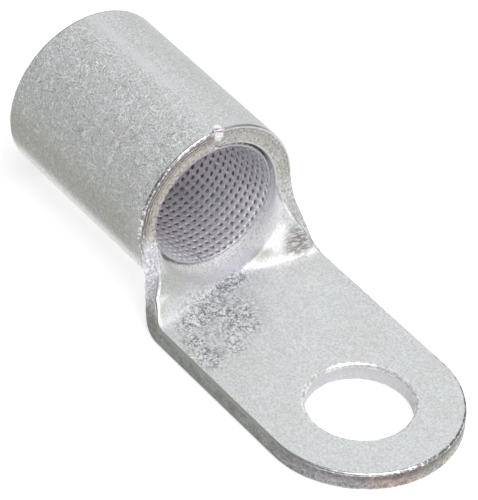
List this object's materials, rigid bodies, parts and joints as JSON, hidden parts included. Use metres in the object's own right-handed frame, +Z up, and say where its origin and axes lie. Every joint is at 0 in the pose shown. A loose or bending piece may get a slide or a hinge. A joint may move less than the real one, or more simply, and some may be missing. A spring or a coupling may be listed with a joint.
{
  "type": "copper cable lug",
  "caption": "Tinned copper terminal lug with a flat round-ended tongue, a stud hole, a rolled barrel and a perforated liner for a stranded cable.",
  "frame": {"origin": "centre of the stud hole on the tongue's underside", "axes": "+X along the barrel's axis towards the tongue's rounded tip, +Z up out of the tongue's top face"},
  "size_m": [0.0555, 0.02, 0.0181],
  "materials": {
    "tinned_copper": "matte",
    "perforated_sheet": "satin"
  },
  "bodies": {
    "root": {"lug_body": "tinned_copper", "perforated_liner": "perforated_sheet"}
  },
  "joints": []
}
